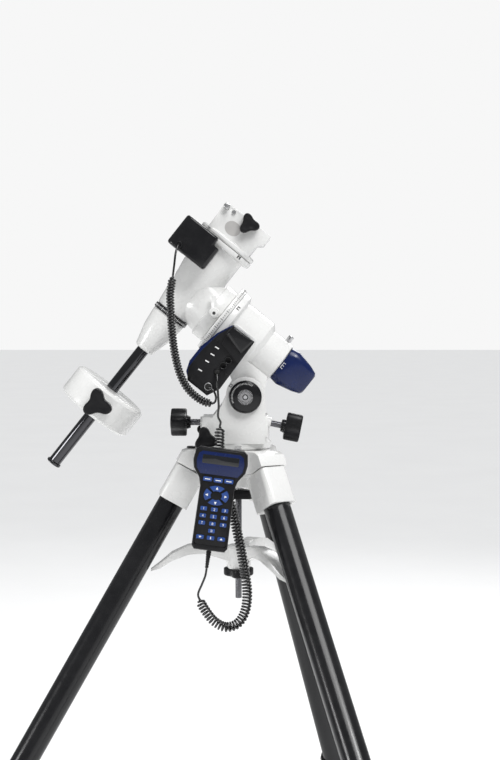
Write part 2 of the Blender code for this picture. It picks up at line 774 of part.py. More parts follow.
def make_dec_motor():
    """Black motor box on the north and near sides of the DEC barrel."""
    outline = [(-71, -70), (-63, -76), (-5, -76), (0, -72), (0, -52), (-71, -52)]
    front = prism("dec_motor_box", outline, 41, 94, DEC_FRAME, "black_plastic")
    join(
        front,
        block("motor_side", (-71, -54, 41), (-43.5, 28, 84), DEC_FRAME),
        block("motor_top", (-71, -54, 80), (-53, 28, 94), DEC_FRAME),
    )
    cut(front, block("motor_notch", (-11, -80, 81), (8, -50.5, 100), DEC_FRAME))


def make_saddle():
    """Dovetail saddle: a disc on the DEC shaft and a block grooved along the tube's direction."""
    disc = turned(
        "saddle",
        [(48, 94.9), (50, 97), (50, 101), (48, 103), (40, 104)],
        DEC_FRAME,
        "white_paint",
        sides=SMOOTH,
    )
    side_view = [(-38, 100), (-40, 147), (48, 147), (48, 130), (40, 124), (40, 100)]
    join(disc, prism("saddle_block", side_view, -38, 38, DEC_FRAME @ TO_PLANE))
    groove = [(-27, 160), (-27, 147), (-29, 134), (24, 134), (24, 160)]
    knob_line = DEC_FRAME @ at(10, 0, 140.5) @ TO_SIDE
    screw_line = DEC_FRAME @ at(-34, 0, 141) @ TO_SIDE
    cut(
        disc,
        prism("groove", groove, -60, 60, DEC_FRAME @ ALONG_TUBE),
        turned("knob_way", [(4.3, 10), (4.3, 60)], knob_line, sides=SMALL),
        turned("screw_way", [(3.3, 10), (3.3, 60)], screw_line, sides=SMALL),
    )
    jaw = [(-26.6, 147), (-28.6, 134.4), (-24, 134.4), (-20, 147)]
    prism("saddle_jaw", jaw, -30, 36, DEC_FRAME @ ALONG_TUBE, "steel")
    grip = knob("saddle_knob", 17, 8, 5.5, 12, knob_line @ at(0, 0, 42), turn=math.radians(20))
    join(grip, turned("saddle_knob_stem", [(4, 28.9), (4, 44)], knob_line, sides=SMALL))
    turned(
        "saddle_screw",
        [(3, 30.2), (3, 38.3), (5, 38.4), (5, 47), (4, 48)],
        screw_line,
        "steel",
        sides=SMALL,
    )


def make_counterweight():
    """Everything below the DEC barrel: circle, nose, bar, weight and end stop."""
    ring_turned(
        "dec_setting_circle",
        [(30, -48.7), (30, -41.4), (15.4, -41.4), (15.4, -48.7)],
        DEC_FRAME,
        "black_paint",
        sides=SMOOTH,
    )
    nose = turned(
        "dec_nose",
        [(13, -115), (16, -113), (25, -80), (28, -55), (28, -49)],
        DEC_FRAME,
        "white_paint",
        sides=SMOOTH,
    )
    cut(nose, turned("bar_seat", [(10.3, -120), (10.3, -70)], DEC_FRAME))
    turned("counterweight_bar", [(10, -341), (10, -70.3)], DEC_FRAME, "chrome")
    turned(
        "end_stop", [(11, -346), (12, -345), (12, -342), (11.5, -341.3)], DEC_FRAME, "chrome"
    )
    weight = ring_turned(
        "counterweight",
        [(58, -243), (62.5, -239), (62.5, -199), (58, -195), (10.4, -195), (10.4, -243)],
        DEC_FRAME,
        "white_paint",
        sides=SMOOTH,
    )
    knob_line = DEC_FRAME @ at(0, 0, -219) @ TO_SIDE
    join(weight, turned("knob_pad", [(14, 40), (13, 66)], knob_line, sides=SMALL))
    cut(weight, turned("weight_screw_way", [(4.3, 5), (4.3, 80)], knob_line, sides=SMALL))
    turn = math.radians(130)
    grip = knob("counterweight_knob", 24, 11, 7, 15, knob_line @ at(0, 0, 67), turn=turn)
    join(grip, turned("weight_stem", [(4, 10.8), (4, 70)], knob_line, sides=SMALL))


# ---------------------------------------------------------------- handset and cords
HANDSET_TILT = math.radians(7.6)
HANDSET_TOP = (-23, -117, 9)  # middle of the top edge, from the azimuth axis, in mm
HANDSET_FRAME = BASE_FRAME @ at(*HANDSET_TOP) @ Matrix.Rotation(HANDSET_TILT, 4, "Y")
CORD_R = 1.7 * MM
COIL_R = 8 * MM
DEC_COIL_R = 6.5 * MM


def make_handset():
    """Case with a wide display end and a narrower grip; all keys are on one rubber mat."""
    outline = [
        (-33, 0), (33, 0), (39, -5), (41, -20), (39, -32), (29, -46), (26, -58), (27, -148),
        (23, -154), (-23, -154), (-27, -148), (-26, -58), (-29, -46), (-39, -32), (-41, -20), (-39, -5),
    ]
    face = HANDSET_FRAME @ TO_SIDE
    inset = [(x * 0.95, -77 + (z + 77) * 0.975) for x, z in outline]
    rings = [
        [(x, z, depth) for x, z in shape]
        for depth, shape in ((-12, inset), (-8, outline), (9, outline), (12, inset))
    ]
    case = add_object("handset_case", loft_mesh("handset_case", rings), face, "black_plastic")
    cut(
        case,
        block("window_recess", (-30, -30, 10.5), (30, -7, 20), face),
        block("mat_recess", (-24, -146, 9), (24, -34, 20), face),
        turned("cord_way", [(4.5, -170), (4.5, -146)], HANDSET_FRAME, sides=SMALL),
    )
    mat = block("keypad_mat", (-23.7, -145.7, 9.3), (23.7, -34.3, 11.5), face, "key_rubber")
    for key in key_outlines():
        join(mat, prism("key", key, 11, 13.5, face))
    turned(
        "handset_strain_relief",
        [(2.5, -182), (4.2, -166), (4.2, -146.5)],
        HANDSET_FRAME,
        "rubber",
        sides=SMALL,
    )
    bracket = block("handset_bracket", (-5, -103.5, 4), (5, -52.4, 7), BASE_FRAME, "steel")
    join(bracket, block("bracket_drop", (-5, -103.5, -30), (5, -101, 7), BASE_FRAME))


def key_outlines():
    """Function keys, four direction keys round a centre, and a number pad."""
    keys = [rectangle(x, -39, 13, 6) for x in (-15.5, 0, 15.5)]
    for start in (-38, 52, 142, 232):
        sector = []
        for radius, turns in ((20, range(0, 77, 19)), (9, range(76, -1, -19))):
            for turn in turns:
                angle = math.radians(start + turn)
                sector.append((radius * math.cos(angle), -63 + 0.85 * radius * math.sin(angle)))
        keys.append(sector)
    keys += [rectangle(x, -88 - 11 * row, 11, 6.5) for row in range(4) for x in (-15, 0, 15)]
    keys += [rectangle(x, -136, 13, 6) for x in (-15.5, 0, 15.5)]
    return keys


def rectangle(x, y, wide, tall):
    corners = ((-1, -1), (1, -1), (1, 1), (-1, 1))
    return [(x + wide / 2 * i, y + tall / 2 * j) for i, j in corners]


def route(points):
    """World points of a route given in mm from the azimuth axis at the hub's top."""
    return [HUB + Vector(point) * MM for point in points]


DEC_LEAD = [(-90, -77.2, 316), (-90.5, -82, 315), (-94, -89, 303), (-96, -93, 285), (-98, -94, 268)]
DEC_COIL = [
    (-98.2, -94, 267.5), (-102, -95, 240), (-101, -96, 210), (-99, -97, 180), (-95, -98, 150),
    (-88, -99, 122), (-77, -100, 100), (-62, -101, 85), (-47, -102, 77), (-38, -102, 76),
]
DEC_TAIL = [(-34, -102, 79), (-33.5, -101, 87), (-37, -100, 95), (-44, -97, 100.5), (-45.1, -87, 100.8)]
HANDSET_LEAD = [
    (-31.3, -87, 123), (-31.5, -98, 121), (-31, -105, 108), (-30, -106, 90), (-29, -105, 72),
    (-30, -102, 56), (-26, -100, 47), (-27, -98, 41),
]
HANDSET_COIL = [
    (-27.4, -97.6, 40.4), (-28, -94, 14), (-26, -93, -20), (-18, -93, -55), (-8, -95, -90),
    (0, -98, -125), (6, -101, -155), (11, -104, -185), (14, -106, -212), (11, -107, -238),
    (0, -108, -257), (-18, -108, -263), (-36, -109, -254), (-50, -111, -236), (-58, -112, -220),
]
HANDSET_TAIL = [
    (-58.2, -112, -219.4), (-60, -112.5, -211), (-54, -115, -196), (-49, -117, -183), (-47.1, -117, -172.1),
]


def make_cords():
    """Two curly cords, whose coils are plain tubes of the coil's outer diameter."""
    plain = [
        ("dec_lead", DEC_LEAD, CORD_R, 8 * MM),
        ("handset_lead", HANDSET_LEAD, CORD_R, 8 * MM),
        ("handset_lead_coil", HANDSET_COIL, COIL_R, 16 * MM),
        ("handset_lead_tail", HANDSET_TAIL, CORD_R, 8 * MM),
    ]
    for name, points, radius, step in plain:
        tube_along(name, smooth_path(route(points), step), radius, "cable")
    coil = smooth_path(route(DEC_COIL), 15 * MM)
    tail = smooth_path(route(DEC_COIL[-1:] + DEC_TAIL), 6 * MM)[1:]
    scales = [1] * len(coil) + [CORD_R / DEC_COIL_R] * len(tail)
    tube_along("dec_lead_coil", coil + tail, DEC_COIL_R, "cable", scales=scales)


def clear_scene():
    for obj in list(bpy.data.objects):
        bpy.data.objects.remove(obj)


clear_scene()
make_hub()
for leg_key, leg_angle in LEG_ANGLES.items():
    make_leg(leg_key, leg_angle)
make_spreader()
make_fixing_bolt()
make_azimuth_base()
make_adjusters()
make_polar_housing()
make_control_box()
make_dec_housing()
make_dec_motor()
make_saddle()
make_counterweight()
make_handset()
make_cords()
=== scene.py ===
"""Looks of the equatorial mount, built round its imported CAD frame.

Positions come from the frame's boxes and from the CAD's own frames, repeated here in millimetres.
"""

import json
import math

import bmesh
import bpy
from mathutils import Matrix, Vector

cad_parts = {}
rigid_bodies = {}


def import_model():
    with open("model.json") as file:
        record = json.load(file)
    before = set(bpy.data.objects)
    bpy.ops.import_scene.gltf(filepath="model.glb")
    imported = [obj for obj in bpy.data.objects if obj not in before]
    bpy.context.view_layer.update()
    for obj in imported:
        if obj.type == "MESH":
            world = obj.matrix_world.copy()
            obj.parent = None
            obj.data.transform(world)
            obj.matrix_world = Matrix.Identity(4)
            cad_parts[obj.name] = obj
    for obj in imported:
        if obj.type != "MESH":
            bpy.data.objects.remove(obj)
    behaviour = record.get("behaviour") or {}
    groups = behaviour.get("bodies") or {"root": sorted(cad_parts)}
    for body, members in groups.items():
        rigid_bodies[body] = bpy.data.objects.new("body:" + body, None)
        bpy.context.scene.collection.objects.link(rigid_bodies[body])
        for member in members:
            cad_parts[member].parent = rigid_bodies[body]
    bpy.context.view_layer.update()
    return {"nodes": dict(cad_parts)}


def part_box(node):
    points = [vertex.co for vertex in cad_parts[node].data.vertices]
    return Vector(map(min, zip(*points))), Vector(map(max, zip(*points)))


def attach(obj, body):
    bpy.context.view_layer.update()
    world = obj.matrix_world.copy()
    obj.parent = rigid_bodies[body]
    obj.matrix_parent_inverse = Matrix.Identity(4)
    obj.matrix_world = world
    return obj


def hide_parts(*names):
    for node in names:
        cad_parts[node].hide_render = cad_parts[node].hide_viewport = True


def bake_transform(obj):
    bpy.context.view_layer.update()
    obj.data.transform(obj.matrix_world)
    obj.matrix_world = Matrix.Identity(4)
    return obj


for startup in list(bpy.data.objects):
    bpy.data.objects.remove(startup)
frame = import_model()
NODES = frame["nodes"]

MM = 0.001

# ---------------------------------------------------------------- frames, as in the CAD
LATITUDE = math.radians(38.5)
POST_RISE = 28
ALT_FROM_HUB = (11, 0, 83)
RA_FROM_ALT = 71
DEC_FROM_RA = 171
HANDSET_FROM_HUB = (-23, -117, 9)
HANDSET_LEAN = math.radians(7.6)

ROD_LOW, ROD_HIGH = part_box("tie_rod")
POST_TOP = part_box("tripod_hub")[1].z
HUB = Vector(((ROD_LOW.x + ROD_HIGH.x) / 2, (ROD_LOW.y + ROD_HIGH.y) / 2, POST_TOP - POST_RISE * MM))
ALT = HUB + Vector(ALT_FROM_HUB) * MM
POLE = Vector((-math.cos(LATITUDE), 0, math.sin(LATITUDE)))
DEC = Vector((math.sin(LATITUDE), 0, math.cos(LATITUDE)))
SIDE = Vector((0, 1, 0))
RA_ORIGIN = ALT + DEC * RA_FROM_ALT * MM
DEC_ORIGIN = RA_ORIGIN + POLE * DEC_FROM_RA * MM


def frame_at(origin, x, y, z):
    """Matrix whose columns are the local axes."""
    columns = [Vector(axis).normalized() for axis in (x, y, z)]
    matrix = Matrix([[column[row] for column in columns] for row in range(3)]).to_4x4()
    matrix.translation = origin
    return matrix


def at(x, y, z):
    return Matrix.Translation((x * MM, y * MM, z * MM))


def arc(radius, first, last, steps, cx=0, cy=0):
    """Points on an arc, angles in degrees."""
    points = []
    for step in range(steps + 1):
        angle = math.radians(first + (last - first) * step / steps)
        points.append((cx + radius * math.cos(angle), cy + radius * math.sin(angle)))
    return points


def circle(radius, z, sides):
    """Points of a full circle at height z."""
    angles = [2 * math.pi * i / sides for i in range(sides)]
    return [(radius * math.cos(angle), radius * math.sin(angle), z) for angle in angles]


BASE_FRAME = Matrix.Translation(HUB)
ALT_FRAME = Matrix.Translation(ALT)
RA_FRAME = frame_at(RA_ORIGIN, DEC, SIDE, POLE)
DEC_FRAME = frame_at(DEC_ORIGIN, -POLE, SIDE, DEC)
TO_SIDE = Matrix.Rotation(math.pi / 2, 4, "X")
TO_BACK = Matrix.Rotation(-math.pi / 2, 4, "X")
TO_DOWN = Matrix.Rotation(math.pi, 4, "X")
TO_PLANE = Matrix(((1, 0, 0, 0), (0, 0, -1, 0), (0, 1, 0, 0), (0, 0, 0, 1)))
BOX_FACE = RA_FRAME @ TO_PLANE  # (towards the saddle, up the polar axis, out)
MOTOR_FACE = DEC_FRAME @ TO_PLANE
HANDSET_FRAME = BASE_FRAME @ at(*HANDSET_FROM_HUB) @ Matrix.Rotation(HANDSET_LEAN, 4, "Y")
HANDSET_FACE = HANDSET_FRAME @ TO_SIDE  # (to the right, up from the handset's top edge, out)


def screw_frame(drop, tilt, towards):
    """Altitude screw: Z runs outwards along it from the line straight below the axle."""
    out = Vector((towards * math.cos(tilt), 0, -math.sin(tilt)))
    return frame_at(ALT - Vector((0, 0, drop * MM)), SIDE.cross(out), SIDE, out)


# ---------------------------------------------------------------- materials
def noise_node(tree, coords, scale, detail=3.0):
    node = tree.nodes.new("ShaderNodeTexNoise")
    node.inputs["Scale"].default_value = scale
    node.inputs["Detail"].default_value = detail
    tree.links.new(coords, node.inputs["Vector"])
    return node.outputs[0]


def mapped(tree, noise, low, high):
    """Spreads the middle part of a noise over the range from low to high."""
    node = tree.nodes.new("ShaderNodeMapRange")
    for key, value in (("From Min", 0.3), ("From Max", 0.7), ("To Min", low), ("To Max", high)):
        node.inputs[key].default_value = value
    tree.links.new(noise, node.inputs["Value"])
    return node.outputs["Result"]


def thread_normal(tree, coords, normal, axis, pitch):
    """Adds ridges across the axis, one every pitch, to a normal."""
    dot = tree.nodes.new("ShaderNodeVectorMath")
    dot.operation = "DOT_PRODUCT"
    dot.inputs[1].default_value = axis
    tree.links.new(coords, dot.inputs[0])
    waves = tree.nodes.new("ShaderNodeMath")
    waves.operation = "MULTIPLY"
    waves.inputs[1].default_value = 2 * math.pi / pitch
    tree.links.new(dot.outputs["Value"], waves.inputs[0])
    sine = tree.nodes.new("ShaderNodeMath")
    sine.operation = "SINE"
    tree.links.new(waves.outputs[0], sine.inputs[0])
    ridges = tree.nodes.new("ShaderNodeBump")
    ridges.inputs["Distance"].default_value = pitch * 0.06
    tree.links.new(sine.outputs[0], ridges.inputs["Height"])
    tree.links.new(normal, ridges.inputs["Normal"])
    return ridges.outputs["Normal"]


def surface(name, colour, other, roughness, spread=0.06, metallic=0.0, coat=0.0, specular=0.5,
            blotch=30.0, grain=900.0, depth=0.02, thread=None):
    """Two close colours in soft blotches, uneven gloss, and a fine bump; thread is (axis, pitch)."""
    material = bpy.data.materials.new(name)
    material.use_nodes = True
    tree = material.node_tree
    shader = tree.nodes["Principled BSDF"]
    shader.inputs["Metallic"].default_value = metallic
    shader.inputs["Specular IOR Level"].default_value = specular
    shader.inputs["Coat Weight"].default_value = coat
    shader.inputs["Coat Roughness"].default_value = 0.06
    coords = tree.nodes.new("ShaderNodeTexCoord").outputs["Object"]

    mix = tree.nodes.new("ShaderNodeMix")
    mix.data_type = "RGBA"
    mix.inputs[6].default_value = (*colour, 1)
    mix.inputs[7].default_value = (*other, 1)
    tree.links.new(mapped(tree, noise_node(tree, coords, blotch), 0, 1), mix.inputs[0])
    tree.links.new(mix.outputs[2], shader.inputs["Base Color"])

    uneven = noise_node(tree, coords, blotch * 4, 5.0)
    gloss = mapped(tree, uneven, roughness - spread, roughness + spread)
    tree.links.new(gloss, shader.inputs["Roughness"])

    bump = tree.nodes.new("ShaderNodeBump")
    bump.inputs["Distance"].default_value = depth * MM
    bump.inputs["Strength"].default_value = 0.6
    tree.links.new(noise_node(tree, coords, grain, 2.0), bump.inputs["Height"])
    normal = bump.outputs["Normal"]
    if thread:
        normal = thread_normal(tree, coords, normal, *thread)
    tree.links.new(normal, shader.inputs["Normal"])
    return material


WHITE = surface("white_enamel", (0.74, 0.74, 0.73), (0.69, 0.69, 0.68), 0.27, 0.05, coat=0.3,
                blotch=14, grain=700, depth=0.02)
BLACK_PAINT = surface("black_gloss_paint", (0.006, 0.006, 0.007), (0.010, 0.010, 0.011), 0.22, 0.05,
                      coat=0.12, specular=0.35, blotch=20, grain=500, depth=0.03)
BLACK = surface("black_moulded_plastic", (0.007, 0.007, 0.008), (0.011, 0.011, 0.012), 0.36, 0.06,
                specular=0.2, blotch=60, grain=2600, depth=0.05)
GLOSS_BLACK = surface("gloss_black_plastic", (0.006, 0.006, 0.007), (0.010, 0.010, 0.011), 0.18, 0.05,
                      coat=0.12, specular=0.3, blotch=40, grain=1200, depth=0.015)
NAVY = surface("navy_plastic", (0.003, 0.010, 0.060), (0.004, 0.013, 0.075), 0.24, 0.05, coat=0.12,
               specular=0.35, blotch=35, grain=1400, depth=0.03)
KEY_BLUE = surface("key_rubber_blue", (0.010, 0.045, 0.20), (0.013, 0.055, 0.24), 0.42, 0.06,
                   blotch=90, grain=3000, depth=0.03)
RUBBER = surface("black_rubber", (0.010, 0.010, 0.010), (0.018, 0.018, 0.017), 0.66, 0.08,
                 specular=0.25, blotch=70, grain=2200, depth=0.10)
CABLE = surface("cable_sheath", (0.006, 0.006, 0.006), (0.009, 0.009, 0.010), 0.22, 0.06,
                coat=0.3, specular=0.5, blotch=150, grain=2500, depth=0.02)
STEEL = surface("turned_steel", (0.60, 0.60, 0.60), (0.52, 0.52, 0.53), 0.27, 0.07, metallic=1.0,
                blotch=60, grain=1500, depth=0.02)
TUBE_STEEL = surface("drawn_steel", (0.58, 0.58, 0.59), (0.50, 0.50, 0.51), 0.24, 0.07, metallic=1.0,
                     blotch=18, grain=1200, depth=0.015)
BAR_STEEL = surface("polished_bar_steel", (0.085, 0.085, 0.09), (0.07, 0.07, 0.075), 0.11, 0.03,
                    metallic=1.0, blotch=22, grain=800, depth=0.004)
BRASS = surface("machined_brass", (0.70, 0.50, 0.22), (0.62, 0.43, 0.18), 0.30, 0.07, metallic=1.0,
                blotch=60, grain=1500, depth=0.02)
INK = surface("white_marking", (0.78, 0.78, 0.77), (0.70, 0.70, 0.70), 0.5, 0.05, blotch=200,
              grain=3000, depth=0.005)
# Black for printed marks; the same material is painted shade in the lever nut's socket.
DARK_INK_AND_SHADE = surface("black_marking_and_painted_shade", (0.02, 0.02, 0.02), (0.035, 0.035, 0.035), 0.5, 0.05, blotch=200,
                   grain=3000, depth=0.005)
# Flat grey for a plate that is painted shade, standing in for the hollow of a shallow recess on the saddle.
PAINTED_RECESS_SHADE = surface("painted_recess_shade", (0.47, 0.46, 0.45), (0.43, 0.42, 0.41), 0.5, 0.05, blotch=30,
                 grain=900, depth=0.03)
WINDOW = surface("display_window", (0.004, 0.005, 0.007), (0.006, 0.007, 0.010), 0.08, 0.03, coat=0.5,
                 blotch=50, grain=900, depth=0.003)
SILVER = surface("silver_print", (0.62, 0.62, 0.63), (0.52, 0.52, 0.53), 0.32, 0.06, metallic=0.7,
                 blotch=120, grain=2000, depth=0.01)


THREAD_PITCH = 1.5


def threaded(name, axis):
    """Dark steel with the ridges of a thread about the axis."""
    return surface(name, (0.17, 0.17, 0.18), (0.13, 0.13, 0.14), 0.30, 0.07, metallic=1.0,
                   blotch=60, grain=1500, depth=0.02, thread=(axis, THREAD_PITCH * MM))


# ---------------------------------------------------------------- CAD nodes
SMOOTH_UNDER = math.radians(38)
SOFTEN_OVER = math.radians(40)
FLAT_WITHIN = math.radians(1)
WELD_MM = 0.02
WIDE_EDGE = 3


def node_group(name):
    """(tree, input node, output node) of a geometry nodes modifier."""
    tree = bpy.data.node_groups.new(name, "GeometryNodeTree")
    for way in ("INPUT", "OUTPUT"):
        tree.interface.new_socket("Geometry", in_out=way, socket_type="NodeSocketGeometry")
    return tree, tree.nodes.new("NodeGroupInput"), tree.nodes.new("NodeGroupOutput")


def smooth_tree(angle):
    """Geometry nodes: shade smooth, except across edges sharper than the angle."""
    tree, start, end = node_group("smooth_by_angle")
    faces = tree.nodes.new("GeometryNodeSetShadeSmooth")
    edges = tree.nodes.new("GeometryNodeSetShadeSmooth")
    edges.domain = "EDGE"
    edges.inputs["Shade Smooth"].default_value = False
    bend = tree.nodes.new("GeometryNodeInputMeshEdgeAngle")
    sharp = tree.nodes.new("FunctionNodeCompare")
    sharp.inputs[1].default_value = angle
    tree.links.new(start.outputs[0], faces.inputs["Geometry"])
    tree.links.new(faces.outputs[0], edges.inputs["Geometry"])
    tree.links.new(bend.outputs["Unsigned Angle"], sharp.inputs[0])
    tree.links.new(sharp.outputs[0], edges.inputs["Selection"])
    tree.links.new(edges.outputs[0], end.inputs[0])
    return tree


SMOOTH_TREE = smooth_tree(SMOOTH_UNDER)


def zone_tree(name, material, origin, axis, low, high):
    """Geometry nodes: this material on faces whose distance along the axis is between two limits."""
    tree, start, end = node_group(name)
    paint = tree.nodes.new("GeometryNodeSetMaterial")
    paint.inputs["Material"].default_value = material
    dot = tree.nodes.new("ShaderNodeVectorMath")
    dot.operation = "DOT_PRODUCT"
    dot.inputs[1].default_value = axis
    tree.links.new(tree.nodes.new("GeometryNodeInputPosition").outputs[0], dot.inputs[0])
    base = Vector(origin).dot(axis)
    tests = []
    for operation, limit in (("GREATER_THAN", base + low * MM), ("LESS_THAN", base + high * MM)):
        test = tree.nodes.new("FunctionNodeCompare")
        test.operation = operation
        test.inputs[1].default_value = limit
        tree.links.new(dot.outputs["Value"], test.inputs[0])
        tests.append(test)
    both = tree.nodes.new("FunctionNodeBooleanMath")
    tree.links.new(tests[0].outputs[0], both.inputs[0])
    tree.links.new(tests[1].outputs[0], both.inputs[1])
    tree.links.new(both.outputs[0], paint.inputs["Selection"])
    tree.links.new(start.outputs[0], paint.inputs["Geometry"])
    tree.links.new(paint.outputs[0], end.inputs[0])
    return tree


def soften(obj, width):
    """Bevels the sharp edges, in more steps where the bevel is wide."""
    bevel = obj.modifiers.new("edges", "BEVEL")
    bevel.width = width * MM
    bevel.segments = 2 if width < WIDE_EDGE else 4
    bevel.limit_method = "ANGLE"
    bevel.angle_limit = SOFTEN_OVER


def shade(obj):
    obj.modifiers.new("shading", "NODES").node_group = SMOOTH_TREE


def dress(name, material, edge, zones=()):
    """Material, softened edges and smooth shading for a CAD node; zones repaint parts of it."""
    obj = NODES[name]
    if not obj.data.materials:
        obj.data.materials.append(material)
    for slot in obj.material_slots:
        slot.material = material
    weld = obj.modifiers.new("weld", "WELD")
    weld.merge_threshold = WELD_MM * MM
    flat = obj.modifiers.new("flat", "DECIMATE")
    flat.decimate_type = "DISSOLVE"
    flat.angle_limit = FLAT_WITHIN
    if edge:
        soften(obj, edge)
    for index, (paint, place, low, high) in enumerate(zones):
        axis = place.to_3x3() @ Vector((0, 0, 1))
        modifier = obj.modifiers.new(f"zone_{index}", "NODES")
        modifier.node_group = zone_tree(f"{name}_zone_{index}", paint, place.translation, axis, low, high)
    shade(obj)


# ---------------------------------------------------------------- new pieces
def add_piece(name, mesh, place, material, body, edge=0.0, replaced=()):
    """A mesh in its frame that rides on a body."""
    piece = bpy.data.objects.new(name, mesh)
    bpy.context.scene.collection.objects.link(piece)
    mesh.transform(place)
    mesh.materials.append(material)
    for face in mesh.polygons:
        face.use_smooth = True
    if edge:
        soften(piece, edge)
    shade(piece)
    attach(piece, body)
    if replaced:
        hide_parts(*replaced)
    return piece


def mesh_of(name, points, faces):
    mesh = bpy.data.meshes.new(name)
    mesh.from_pydata([Vector(point) * MM for point in points], [], faces)
    mesh.validate()
    work = bmesh.new()
    work.from_mesh(mesh)
    bmesh.ops.recalc_face_normals(work, faces=work.faces)
    work.to_mesh(mesh)
    work.free()
    return mesh


def prism_parts(outline, low, high, offset):
    """(points, faces) of an outline in XY, extruded along Z."""
    count = len(outline)
    points = [(x, y, z) for z in (low, high) for x, y in outline]
    sides = [
        (offset + i, offset + (i + 1) % count, offset + count + (i + 1) % count, offset + count + i)
        for i in range(count)
    ]
    ends = [tuple(offset + i for i in range(count)), tuple(offset + count + i for i in range(count))]
    return points, sides + ends


def plates(name, outlines, low, high, place, material, body, edge=0.0, replaced=()):
    """Flat pieces of one height, all in one mesh."""
    points, faces = [], []
    for outline in outlines:
        more, more_faces = prism_parts(outline, low, high, len(points))
        points += more
        faces += more_faces
    mesh = mesh_of(name, points, faces)
    return add_piece(name, mesh, place, material, body, edge=edge, replaced=replaced)


def rectangle(x, y, wide, tall, turn=0.0):
    """Rectangle about (x, y), turned by an angle in degrees."""
    cosine, sine = math.cos(math.radians(turn)), math.sin(math.radians(turn))
    corners = []
    for sx, sy in ((-1, -1), (1, -1), (1, 1), (-1, 1)):
        dx, dy = sx * wide / 2, sy * tall / 2
        corners.append((x + dx * cosine - dy * sine, y + dx * sine + dy * cosine))
    return corners


def rounded_rectangle(x, y, wide, tall, radius):
    points = []
    dx, dy = wide / 2 - radius, tall / 2 - radius
    for sx, sy, first in ((1, 1, 0), (-1, 1, 90), (-1, -1, 180), (1, -1, 270)):
        points += arc(radius, first, first + 90, 4, x + sx * dx, y + sy * dy)
    return points


def lathe(name, profile, place, material, body, sides=64, closed=False, replaced=(), edge=0.0):
    """Profile of (radius, z) turned about local Z; a closed profile makes a ring."""
    mesh = ring_mesh(name, [circle(radius, z, sides) for radius, z in profile], closed)
    return add_piece(name, mesh, place, material, body, replaced=replaced, edge=edge)


def ring_mesh(name, rings, closed=False):
    """Quads between rings of the same number of points, with end caps unless closed."""
    count = len(rings[0])
    points = [point for ring in rings for point in ring]
    faces = []
    spans = len(rings) if closed else len(rings) - 1
    for k in range(spans):
        a, b = k * count, ((k + 1) % len(rings)) * count
        faces += [(a + i, a + (i + 1) % count, b + (i + 1) % count, b + i) for i in range(count)]
    if not closed:
        faces.append(tuple(range(count)))
        faces.append(tuple(range(len(points) - count, len(points))))
    return mesh_of(name, points, faces)


KNOB_SIDES = 96
FIGURE_SIZE = 5.4
FIGURE_HEIGHT = 0.25


def lobed_radius(angle, lobe_r, web_r, turn):
    """Hand knob's radius: three round lobes with hollows between them."""
    swell = 0.5 + 0.5 * math.cos(3 * (angle - turn))
    return web_r + (lobe_r - web_r) * swell**1.15


def hand_knob(name, lobe_r, web_r, thick, place, body, turn, replaced):
    """Three-lobed knob with rolled edges and a dished face; the profile is (part of the radius, z)."""
    profile = [
        (0.90, 0), (0.97, 0.8), (1.0, 2.4), (1.0, thick - 2.8), (0.975, thick - 1.2), (0.92, thick - 0.2),
        (0.84, thick), (0.62, thick - 0.5), (0.50, thick - 1.2), (0.2, thick - 1.4),
    ]
    rings = []
    for scale, z in profile:
        ring = []
        for i in range(KNOB_SIDES):
            angle = 2 * math.pi * i / KNOB_SIDES
            radius = scale * lobed_radius(angle, lobe_r, web_r, turn)
            ring.append((radius * math.cos(angle), radius * math.sin(angle), z))
        rings.append(ring)
    return add_piece(name, ring_mesh(name, rings), place, BLACK, body, replaced=replaced)


def mesh_from_curve(curve):
    """Mesh of a curve or text, made through an object that is then removed."""
    helper = bpy.data.objects.new(curve.name, curve)
    bpy.context.scene.collection.objects.link(helper)
    evaluated = helper.evaluated_get(bpy.context.evaluated_depsgraph_get())
    mesh = bpy.data.meshes.new_from_object(evaluated)
    bpy.data.objects.remove(helper)
    return mesh


def text_marks(name, items, place, material, body):
    """Small printed figures: items are (text, x, y), in one mesh."""
    work = bmesh.new()
    for text, x, y in items:
        curve = bpy.data.curves.new("figure", "FONT")
        curve.body = text
        curve.size = FIGURE_SIZE * MM
        curve.extrude = FIGURE_HEIGHT * MM / 2
        curve.align_x = "CENTER"
        curve.align_y = "CENTER"
        mesh = mesh_from_curve(curve)
        mesh.transform(at(x, y, 0))
        work.from_mesh(mesh)
    joined = bpy.data.meshes.new(name)
    work.to_mesh(joined)
    work.free()
    return add_piece(name, joined, place, material, body)


def cap_screw(name, place, body, radius, height, material=STEEL):
    """Socket-head screw: a low head with a six-sided hole."""
    step = 10
    head = [(radius, 0), (radius, height - 0.4), (radius - 0.4, height)]
    rings = [circle(r, z, 360 // step) for r, z in head]
    flat = radius * 0.52 * math.cos(math.radians(30))
    for z in (height, height * 0.35):
        ring = []
        for degrees in range(0, 360, step):
            angle = math.radians(degrees)
            edge = flat / math.cos(math.radians(degrees % 60 - 30))
            ring.append((edge * math.cos(angle), edge * math.sin(angle), z))
        rings.append(ring)
    return add_piece(name, ring_mesh(name, rings), place, material, body)


